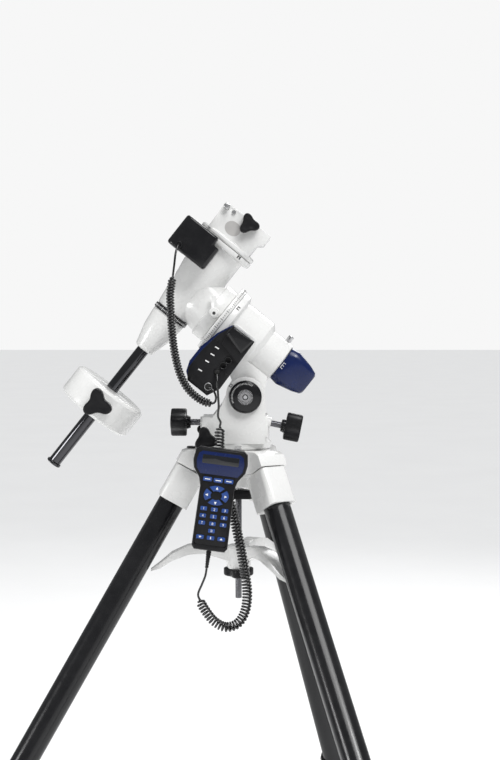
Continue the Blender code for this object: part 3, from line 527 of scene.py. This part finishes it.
# ---------------------------------------------------------------- cords, as routed in the CAD (mm from HUB)
CORD_D = 3.4
DEC_COIL_R, DEC_PITCH = 6.5, 4.4
HANDSET_COIL_R, HANDSET_PITCH = 8.0, 4.9
TURN_POINTS = 14
WIDEN_TURNS = 1.5
PLAIN_EVERY = 9
SPLINE_STEPS = 24
DEC_LEAD = [(-90, -77.2, 316), (-90.5, -82, 315), (-94, -89, 303), (-96, -93, 285), (-98, -94, 268)]
DEC_COIL = [
    (-98.2, -94, 267.5), (-102, -95, 240), (-101, -96, 210), (-99, -97, 180), (-95, -98, 150),
    (-88, -99, 122), (-77, -100, 100), (-62, -101, 85), (-47, -102, 77), (-38, -102, 76),
]
DEC_TAIL = [(-34, -102, 79), (-33.5, -101, 87), (-37, -100, 95), (-44, -97, 100.5), (-45.1, -87, 100.8)]
HANDSET_LEAD = [
    (-31.3, -87, 123), (-31.5, -98, 121), (-31, -105, 108), (-30, -106, 90), (-29, -105, 72),
    (-30, -102, 56), (-26, -100, 47), (-27, -98, 41),
]
HANDSET_COIL = [
    (-27.4, -97.6, 40.4), (-28, -94, 14), (-26, -93, -20), (-18, -93, -55), (-8, -95, -90),
    (0, -98, -125), (6, -101, -155), (11, -104, -185), (14, -106, -212), (11, -107, -238),
    (0, -108, -257), (-18, -108, -263), (-36, -109, -254), (-50, -111, -236), (-58, -112, -220),
]
HANDSET_TAIL = [(-60, -112.5, -211), (-54, -115, -196), (-49, -117, -183), (-47.1, -117, -172.1)]


def smooth_path(route, step):
    """Points every `step` mm on a smooth curve through the route, in world metres."""
    knots = [HUB + Vector(point) * MM for point in route]
    knots = [2 * knots[0] - knots[1]] + knots + [2 * knots[-1] - knots[-2]]
    fine = []
    for i in range(1, len(knots) - 2):
        before, start, end, after = knots[i - 1 : i + 3]
        for k in range(SPLINE_STEPS):
            t = k / SPLINE_STEPS
            fine.append(0.5 * (
                2 * start
                + (end - before) * t
                + (2 * before - 5 * start + 4 * end - after) * t**2
                + (3 * start - before - 3 * end + after) * t**3
            ))
    fine.append(knots[-2])
    path, left = [fine[0]], step * MM
    for a, b in zip(fine, fine[1:]):
        gone = 0.0
        span = (b - a).length
        while span - gone >= left:
            gone += left
            path.append(a.lerp(b, gone / span))
            left = step * MM
        left -= span - gone
    if (path[-1] - fine[-1]).length < 0.5 * step * MM:
        path.pop()
    path.append(fine[-1])
    return path


def cord_length(points):
    return sum((b - a).length for a, b in zip(points, points[1:]))


def cord_points(lead, coil, tail, outer_r, pitch):
    """The cord's own line: two plain leads, and between them a helix, narrow at its ends."""
    step = pitch / TURN_POINTS
    middle = smooth_path(lead[:-1] + coil + tail, step)
    first = round(cord_length(smooth_path(lead[:-1] + coil[:1], step)) / (step * MM))
    last = len(middle) - round(cord_length(smooth_path(coil[-1:] + tail, step)) / (step * MM))
    across = (middle[1] - middle[0]).orthogonal().normalized()
    points = []
    for i, centre in enumerate(middle):
        ahead = middle[min(i + 1, len(middle) - 1)] - middle[max(i - 1, 0)]
        ahead.normalize()
        across = (across - ahead * across.dot(ahead)).normalized()
        if first < i < last:
            grown = min(1.0, min(i - first, last - i) / (WIDEN_TURNS * TURN_POINTS))
            radius = (outer_r - CORD_D / 2) * MM * grown * grown * (3 - 2 * grown)
            turn = 2 * math.pi * (i - first) / TURN_POINTS
            outward = math.cos(turn) * across + math.sin(turn) * ahead.cross(across)
            points.append(centre + radius * outward)
        elif i % PLAIN_EVERY == 0 or i == len(middle) - 1:
            points.append(centre)
    return points


def cord_mesh(name, points):
    """Round tube along the points, as a mesh."""
    curve = bpy.data.curves.new(name, "CURVE")
    curve.dimensions = "3D"
    curve.bevel_depth = CORD_D / 2 * MM
    curve.bevel_resolution = 3
    curve.use_fill_caps = True
    spline = curve.splines.new("POLY")
    spline.points.add(len(points) - 1)
    for point, place in zip(spline.points, points):
        point.co = (*place, 1)
    mesh = mesh_from_curve(curve)
    mesh.materials.clear()
    mesh.materials.append(CABLE)
    for face in mesh.polygons:
        face.use_smooth = True
    piece = bpy.data.objects.new(name, mesh)
    bpy.context.scene.collection.objects.link(piece)
    return piece


def curly_cord(name, lead, coil, tail, outer_r, pitch, replaced):
    """One cord of two plain leads and a coil, in place of the CAD's cord pieces."""
    points = cord_points(lead, coil, tail, outer_r, pitch)
    piece = cord_mesh(name, points)
    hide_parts(*replaced)
    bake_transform(piece)


def port_plug(name, x, z, body):
    """Small plug with a ribbed boot, in one of the control box's ports."""
    profile = [
        (4.1, 85), (4.1, 93.5), (3.8, 94.2), (3.2, 94.6), (3.2, 96.0), (2.6, 96.4), (2.6, 97.4), (2.1, 98),
    ]
    return lathe(name, profile, BOX_FACE @ at(x, z, 0), RUBBER, body, sides=32)


def relief_profile():
    """Tapered sleeve of seven ribs, from the cord up to the handset."""
    profile = [(2.2, -182)]
    for rib in range(7):
        z = -180.5 + rib * 3.6
        radius = 2.6 + rib * 0.22
        profile += [(radius, z), (radius, z + 2.0), (radius - 0.5, z + 2.3), (radius - 0.5, z + 3.3)]
    return profile + [(4.1, -155), (4.1, -146.5)]


relief = lathe(
    "strain_relief", relief_profile(), HANDSET_FRAME, RUBBER, "azimuth", sides=32,
    replaced=("handset_strain_relief",),
)
dec_plug = port_plug("dec_cord_plug", -92, 55, "polar_housing")
handset_plug = port_plug("handset_cord_plug", -66, 58, "polar_housing")
curly_cord(
    "dec_cord", DEC_LEAD, DEC_COIL, DEC_TAIL, DEC_COIL_R, DEC_PITCH,
    ("dec_lead", "dec_lead_coil"),
)
curly_cord(
    "handset_cord", HANDSET_LEAD, HANDSET_COIL, HANDSET_TAIL, HANDSET_COIL_R, HANDSET_PITCH,
    ("handset_lead", "handset_lead_coil", "handset_lead_tail"),
)

# ---------------------------------------------------------------- tripod
for key in "abc":
    dress(f"leg_head_{key}", WHITE, edge=1.2)
    dress(f"leg_tube_{key}", BLACK_PAINT, edge=0.5)
    dress(f"leg_lock_{key}", BLACK, edge=0.8)
    dress(f"lower_leg_{key}", TUBE_STEEL, edge=0.5, zones=[(RUBBER, Matrix.Identity(4), -1, 46)])
dress("tripod_hub", WHITE, edge=1.0)
dress("bubble_level", GLOSS_BLACK, edge=0.4)
dress("spreader", WHITE, edge=1.0)
dress("tie_rod", threaded("tie_rod_thread", (0, 0, 1)), edge=0.3)

# ---------------------------------------------------------------- azimuth base and adjusters
dress("azimuth_base", WHITE, edge=1.2)
dress("altitude_axle", STEEL, edge=0.6)
dress("altitude_cap", GLOSS_BLACK, edge=0.8)
dress("handset_bracket", STEEL, edge=0.4)
FRONT_SCREW = screw_frame(43, 0, -1)
REAR_SCREW = screw_frame(36, math.radians(12), 1)
POST_LINE = BASE_FRAME @ at(-50, 0, 19)


def hand_screw(body, place, knob, turn, rod, collar):
    """Hand knob on a threaded rod with a collar, in place of the CAD's plain solid.

    knob is (lobe radius, web radius, start, thickness), rod is (radius, tip), collar is (radius, length).
    """
    lobe_r, web_r, knob_at, thick = knob
    hand_knob(
        body + "_knob", lobe_r, web_r, thick, place @ at(0, 0, knob_at), body, math.radians(turn), (body,),
    )
    rod_r, tip = rod
    rod_profile = [(2, tip), (rod_r, tip + 3), (rod_r, knob_at - 4)]
    axis = place.to_3x3() @ Vector((0, 0, 1))
    thread = threaded(body + "_thread", axis)
    lathe(body + "_rod", rod_profile, place, thread, body, sides=32)
    collar_r, long = collar
    start = knob_at - long
    collar_profile = [(collar_r - 3, start), (collar_r - 1.5, start + 0.5)]
    collar_profile += [(collar_r, knob_at - 1), (collar_r, knob_at + 1)]
    lathe(body + "_collar", collar_profile, place, GLOSS_BLACK, body, sides=40)


hand_screw("altitude_screw_front", FRONT_SCREW, (24, 16, 93, 25), 35, (5, 9.3), (11, 6.5))
hand_screw("altitude_screw_rear", REAR_SCREW, (24, 16, 64, 25), 80, (5, 10.8), (11, 6.5))
hand_screw("azimuth_screw_front", POST_LINE @ TO_SIDE, (19, 11.5, 63, 14), 100, (4, 6), (8, 3))
hand_screw("azimuth_screw_rear", POST_LINE @ TO_BACK, (19, 11.5, 63, 14), 80, (4, 6), (8, 3))

CAP_FACE = ALT_FRAME @ TO_SIDE


def rays(radius, wide, tall, turns):
    """Rectangles about points of a circle, all pointing outwards; turns in degrees."""
    marks = []
    for degrees in turns:
        angle = math.radians(degrees)
        marks.append(rectangle(radius * math.cos(angle), radius * math.sin(angle), wide, tall, degrees))
    return marks


badge = rays(8.2, 7.2, 0.75, range(0, 360, 12)) + [arc(3.0, 0, 345, 23)]
plates("cap_badge", badge, 64.4, 65.5, CAP_FACE, SILVER, "azimuth")
plates("cap_scale", rays(20.6, 2.6, 0.5, range(60, 205, 6)), 62.6, 63.5, CAP_FACE, INK, "azimuth")
index_at = (-22.3, 17.4)
index_frame = rectangle(*index_at, 4.2, 5.4, 142)
index_field = rectangle(*index_at, 1.8, 2.8, 142)
plates("cheek_index_frame", [index_frame], 51.6, 52.15, CAP_FACE, DARK_INK_AND_SHADE, "azimuth")
plates("cheek_index_field", [index_field], 51.9, 52.3, CAP_FACE, INK, "azimuth")
lathe("cap_rim", [(24.0, 60.8), (24.4, 61.5), (23.2, 62.6), (22.8, 62.0)], CAP_FACE, GLOSS_BLACK,
      "azimuth", closed=True)

# ---------------------------------------------------------------- polar housing
dress("polar_housing", WHITE, edge=1.2)
dress("housing_thumb_screw", STEEL, edge=0.4)
dress("polar_scope_cover", NAVY, edge=1.4)
dress("polar_setting_circle", WHITE, edge=0.5)
for axis_name in ("polar", "dec"):
    dress(f"{axis_name}_worm", STEEL, edge=0.0)
    dress(f"{axis_name}_shaft", STEEL, edge=0.0)
    dress(f"{axis_name}_worm_wheel", BRASS, edge=0.0)
dress("polar_lock_lever", WHITE, edge=0.6)
dress("dec_lock_lever", WHITE, edge=0.6)


BLOCK_FACES = ((0, 1, 2, 3), (4, 5, 6, 7), (0, 1, 5, 4), (1, 2, 6, 5), (2, 3, 7, 6), (3, 0, 4, 7))
MARK_DEPTH, MARK_RISE = 0.4, 0.12


def rim_marks(name, marks, place, material, body):
    """Small plates on a round surface about local Z: (radius, turn in degrees, z, wide, tall)."""
    points, faces = [], []
    for radius, turn, z, wide, tall in marks:
        base = len(points)
        for r in (radius - MARK_DEPTH, radius + MARK_RISE):
            for side, up in ((-1, -1), (1, -1), (1, 1), (-1, 1)):
                angle = math.radians(turn) + side * wide / 2 / radius
                points.append((r * math.cos(angle), r * math.sin(angle), z + up * tall / 2))
        faces += [tuple(base + i for i in face) for face in BLOCK_FACES]
    add_piece(name, mesh_of(name, points, faces), place, material, body)


def dial(name, radius, middle, tall, count, long_every, material, place, body):
    """Graduations round a setting circle, with a longer one every few."""
    marks = []
    for tick in range(count):
        wide, high = (0.6, tall * 0.55) if tick % long_every else (1.0, tall)
        marks.append((radius, 360 * tick / count, middle, wide, high))
    rim_marks(name, marks, place, material, body)


def index_mark(name, radius, turn, z, place, body):
    """Two thick strokes joined by a thin one, printed on a flange."""
    step = math.degrees(2.4 / radius)
    marks = [
        (radius, turn - step, z, 1.9, 5.0),
        (radius, turn + step, z, 1.9, 5.0),
        (radius, turn, z + 1.2, 3.2, 1.3),
    ]
    rim_marks(name, marks, place, DARK_INK_AND_SHADE, body)


dial("polar_circle_marks", 58, 102.6, 4.5, 96, 4, DARK_INK_AND_SHADE, RA_FRAME, "polar_setting_circle")
dial("dec_circle_marks", 30, -45, 4.5, 72, 6, INK, DEC_FRAME, "dec_setting_circle")
index_mark("polar_index", 55, -58, 93.5, RA_FRAME, "polar_housing")
index_mark("dec_index", 50, -54, 91.0, DEC_FRAME, "dec_housing")
ticks = [rectangle(x, -16.5, 0.8, 4.0) for x in (-6, -1.5, 3)] + [rectangle(-1.5, -14.6, 10, 0.7)]
plates("cover_ticks", ticks, 29.2, 30.1, RA_FRAME @ at(4, 0, 0) @ TO_PLANE, INK, "polar_scope_cover")
POLAR_LEVER = RA_FRAME @ at(0, 0, 118) @ TO_SIDE
lathe("polar_lever_nut", [(6.6, 56.8), (6.6, 59.4), (6.0, 60.0)], POLAR_LEVER, WHITE, "polar_lock_lever",
      sides=6, edge=0.3)
# Painted shade: a dark hexagon on the nut stands where the socket's hole would be.
lathe("polar_lever_socket_painted_shade", [(2.7, 59.6), (2.7, 60.15), (2.5, 60.2)], POLAR_LEVER, DARK_INK_AND_SHADE,
      "polar_lock_lever", sides=6)

# ---------------------------------------------------------------- control box
dress("control_box", BLACK, edge=1.0)
dress("control_box_back", NAVY, edge=1.0)
cover_low = [(4.6, 43.6), (4.6, 82.4), (-13, 83.5), (-23, 47.5)]
cover_high = [(2.4, 46.5), (2.4, 79.0), (-9, 80.0), (-18, 50.5)]
cover_rings = []
for z, outline in ((97.8, cover_low), (101, cover_low), (105, cover_high)):
    cover_rings.append([(x, y, z) for x, y in outline])
add_piece("control_cover", ring_mesh("control_cover", cover_rings), BOX_FACE, GLOSS_BLACK,
          "polar_housing", edge=0.9)
labels = [rectangle(x, z, 1.7, 6.5, 8) for x, z in ((-37.6, 81), (-50, 80), (-63, 80), (-80, 80))]
plates("control_labels", labels, 91.9, 92.2, BOX_FACE, INK, "polar_housing")
ports = ((-42, 56, GLOSS_BLACK), (-53, 57, GLOSS_BLACK), (-66, 58, GLOSS_BLACK), (-92, 55, STEEL))
port_rim = [(4.5, 91.5), (4.5, 93.0), (4.9, 93.3), (5.5, 93.3), (5.9, 92.9), (5.9, 91.8)]
for index, (x, z, paint) in enumerate(ports):
    lathe(f"port_ring_{index}", port_rim, BOX_FACE @ at(x, z, 0), paint, "polar_housing", 40, closed=True)
for index, (x, z) in enumerate(((-99, 82), (-99, 52), (-30, 87.5), (-60, 46))):
    cap_screw(f"control_screw_{index}", BOX_FACE @ at(x, z, 91.8), "polar_housing", 2.0, 1.0, GLOSS_BLACK)

# ---------------------------------------------------------------- declination axis
dress("dec_housing", WHITE, edge=1.2)
dress("dec_motor_box", GLOSS_BLACK, edge=4.0)
dress("dec_nose", WHITE, edge=0.8)
dress("counterweight_bar", BAR_STEEL, edge=0.6)
dress("end_stop", BAR_STEEL, edge=0.4)
dress("dec_setting_circle", BLACK_PAINT, edge=0.4)
dress("counterweight", WHITE, edge=1.4)
WEIGHT_LINE = DEC_FRAME @ at(0, 0, -219) @ TO_SIDE
hand_screw("counterweight_knob", WEIGHT_LINE, (24, 13.5, 67, 15), 130, (4, 10.8), (9, 6.5))
MOTOR_SOCKET = BASE_FRAME @ at(*DEC_LEAD[0]) @ TO_SIDE @ at(0, 0, -1.2)
socket_ring = [(3.0, -0.3), (3.0, 0.6), (3.4, 1.0), (5.0, 1.0), (5.6, 0.5), (5.6, -0.3)]
lathe("motor_socket", socket_ring, MOTOR_SOCKET, BLACK, "dec_housing", 40, closed=True)

# ---------------------------------------------------------------- saddle
dress("saddle", WHITE, edge=1.0)
dress("saddle_jaw", STEEL, edge=0.5)
dress("saddle_screw", STEEL, edge=0.5)
SADDLE_LINE = DEC_FRAME @ at(10, 0, 140.5) @ TO_SIDE
hand_screw("saddle_knob", SADDLE_LINE, (17, 10.5, 42, 12), 20, (4, 28.9), (7, 6.5))
# Painted shade: a flat grey oval plate on the saddle's side stands in for the shadow in a shallow round
# recess; nothing is cut.
recess_shade_oval = [(-6 + 13 * math.cos(a * math.pi / 18), 120 + 11 * math.sin(a * math.pi / 18)) for a in range(36)]
plates("saddle_recess_painted_shade", [recess_shade_oval], 37.6, 38.1, MOTOR_FACE, PAINTED_RECESS_SHADE, "dec_axis")
cap_screw("saddle_screw_low", MOTOR_FACE @ at(-20, 141, 37.9), "dec_axis", 3.2, 3.0)

# ---------------------------------------------------------------- hand knobs under the hub
lathe("hub_boss", [(9.5, 38), (9.5, 47), (8.0, 49)], BASE_FRAME @ at(26, 0, -19) @ TO_SIDE, WHITE,
      "tripod_hub", sides=48, edge=0.5)
TIE_LINE = BASE_FRAME @ at(0, 0, 3 - 195 - 0.4) @ TO_DOWN
hand_knob("spreader_wheel", 26, 15, 13, TIE_LINE, "spreader_knob", math.pi / 2, ("spreader_knob",))
dress("fixing_knob", BLACK, edge=0.8, zones=[(STEEL, BASE_FRAME, -66, 20)])

# ---------------------------------------------------------------- handset
COLUMNS = (-16, 0, 16)
TOP_ROW = -46.6
PAD_Y, PAD_SQUASH = -70, 0.78
DIGIT_ROWS = (-91, -101.8, -112.6)
ZERO_ROW = -123.4
BOTTOM_ROW = -134

dress("handset_case", BLACK, edge=1.6)
bezel_right = [(28, -5.5), (33.5, -9), (36, -20), (34.5, -31), (28, -39.5)]
bezel = [(-28, -5.5)] + bezel_right + [(-28, -39.5), (-34.5, -31), (-36, -20), (-33.5, -9)]
plates("display_bezel", [bezel], 11.8, 12.6, HANDSET_FACE, NAVY, "azimuth", edge=0.4)
glass = rounded_rectangle(0, -17, 55, 13, 1.5)
plates("display_glass", [glass], 12.4, 12.9, HANDSET_FACE, WINDOW, "azimuth", edge=0.2)
plates("keypad_base", [rounded_rectangle(0, -90, 47.4, 111, 4)], 9.3, 11.9, HANDSET_FACE, BLACK, "azimuth",
       edge=0.4, replaced=("keypad_mat",))


def pad_sector(start):
    """One of the four direction keys: a quarter of a flattened ring."""
    outer, inner = arc(18.8, start, start + 74, 8), arc(8.6, start + 71, start + 3, 8)
    return [(x, PAD_Y + PAD_SQUASH * y) for x, y in outer + inner]


def pad_arrow(direction):
    """Triangle on a direction key, pointing away from the pad's middle."""
    angle = math.radians(direction)
    x, y = 14 * math.cos(angle), PAD_Y + PAD_SQUASH * 14 * math.sin(angle)
    corners = []
    for corner in (0, 130, 230):
        angle = math.radians(direction + corner)
        corners.append((x + 2.5 * math.cos(angle), y + 2.5 * math.sin(angle)))
    return corners


top_row = [(x, TOP_ROW - 0.5 * (x == 0)) for x in COLUMNS]
keys = [rounded_rectangle(x, y, 13.4, 6.4, 1.5) for x, y in top_row]
keys += [pad_sector(start) for start in (-37, 53, 143, 233)]
keys += [rounded_rectangle(x, y, 10, 6, 1.4) for y in DIGIT_ROWS for x in COLUMNS]
keys.append(rounded_rectangle(0, ZERO_ROW, 10, 6, 1.4))
keys += [rounded_rectangle(x, BOTTOM_ROW, 11.4, 6, 1.4) for x in COLUMNS]
plates("keypad_keys", keys, 11.5, 13.5, HANDSET_FACE, KEY_BLUE, "azimuth", edge=0.5)

key_marks = [pad_arrow(direction) for direction in (0, 90, 180, 270)]
key_marks += [rectangle(x, y, 8, 1.3) for x, y in top_row]
key_marks += [
    [(-18.2, -132.8), (-16, -135.6), (-13.8, -132.8)],
    rectangle(0, BOTTOM_ROW, 1.3, 3.6),
    [(13.8, -135.2), (16, -132.4), (18.2, -135.2)],
]
plates("key_marks", key_marks, 13.35, 13.6, HANDSET_FACE, INK, "azimuth")
figures = [("0", 0, ZERO_ROW)]
for index in range(9):
    figures.append((str(index + 1), COLUMNS[index % 3], DIGIT_ROWS[index // 3]))
text_marks("key_figures", figures, HANDSET_FACE @ at(0, 0, 13.5), INK, "azimuth")

# ---------------------------------------------------------------- studio
FLOOR_HALF = 40
floor_corners = [(sx * FLOOR_HALF, sy * FLOOR_HALF, 0) for sx, sy in ((-1, -1), (1, -1), (1, 1), (-1, 1))]
PALE_FLOOR = surface("pale_floor", (0.94, 0.94, 0.94), (0.92, 0.92, 0.92), 0.7, 0.05, blotch=2, grain=200,
                     depth=0.05)
floor_mesh = bpy.data.meshes.new("floor")
floor_mesh.from_pydata(floor_corners, [], [(0, 1, 2, 3)])
floor_mesh.materials.append(PALE_FLOOR)
floor = bpy.data.objects.new("floor", floor_mesh)
bpy.context.scene.collection.objects.link(floor)

# The camera sees a near-white background, and the object is lit by a dimmer one.
SEEN_STRENGTH = 0.93
AMBIENT_STRENGTH = 0.28
world = bpy.data.worlds.new("studio")
bpy.context.scene.world = world
world.use_nodes = True
sky = world.node_tree
seen, ambient = sky.nodes["Background"], sky.nodes.new("ShaderNodeBackground")
seen.inputs["Color"].default_value = (1, 1, 1, 1)
seen.inputs["Strength"].default_value = SEEN_STRENGTH
ambient.inputs["Color"].default_value = (0.96, 0.98, 1, 1)
ambient.inputs["Strength"].default_value = AMBIENT_STRENGTH
either = sky.nodes.new("ShaderNodeMixShader")
ray_kind = sky.nodes.new("ShaderNodeLightPath")
sky.links.new(ray_kind.outputs["Is Camera Ray"], either.inputs[0])
sky.links.new(ambient.outputs[0], either.inputs[1])
sky.links.new(seen.outputs[0], either.inputs[2])
sky.links.new(either.outputs[0], sky.nodes["World Output"].inputs[0])
bpy.context.scene.view_settings.view_transform = "Standard"


def area_light(name, place, aim, size, power):
    lamp = bpy.data.lights.new(name, "AREA")
    lamp.size = size
    lamp.energy = power
    obj = bpy.data.objects.new(name, lamp)
    obj.location = place
    obj.rotation_euler = (Vector(aim) - Vector(place)).to_track_quat("-Z", "Y").to_euler()
    bpy.context.scene.collection.objects.link(obj)


AIM = HUB + Vector((0, 0, 0.1))
area_light("key", HUB + Vector((1.1, -1.7, 1.9)), AIM, 0.7, 27)
area_light("strip", HUB + Vector((-2.0, -0.9, 0.3)), AIM, 0.6, 14)
area_light("back", HUB + Vector((0.8, 2.2, 1.6)), AIM, 1.4, 30)

PANEL_POWER = 2.15
PANEL_SPREAD = math.radians(40)
PANEL_TILT = (math.radians(24), math.radians(14), 0)
sun_data = bpy.data.lights.new("sky_panel", "SUN")
sun_data.energy = PANEL_POWER
sun_data.angle = PANEL_SPREAD
sun = bpy.data.objects.new("sky_panel", sun_data)
sun.rotation_euler = PANEL_TILT
bpy.context.scene.collection.objects.link(sun)

CAMERA_FROM_HUB = (0.0182, -2.176, 0.204)
CAMERA_DIP = 0.0447
LENS, SENSOR = 65.27, 36
camera_data = bpy.data.cameras.new("camera")
camera_data.sensor_fit = "VERTICAL"
camera_data.sensor_height = SENSOR
camera_data.lens = LENS
camera = bpy.data.objects.new("camera", camera_data)
camera.location = HUB + Vector(CAMERA_FROM_HUB)
camera.rotation_euler = (math.pi / 2 - CAMERA_DIP, 0, 0)
bpy.context.scene.collection.objects.link(camera)
bpy.context.scene.camera = camera
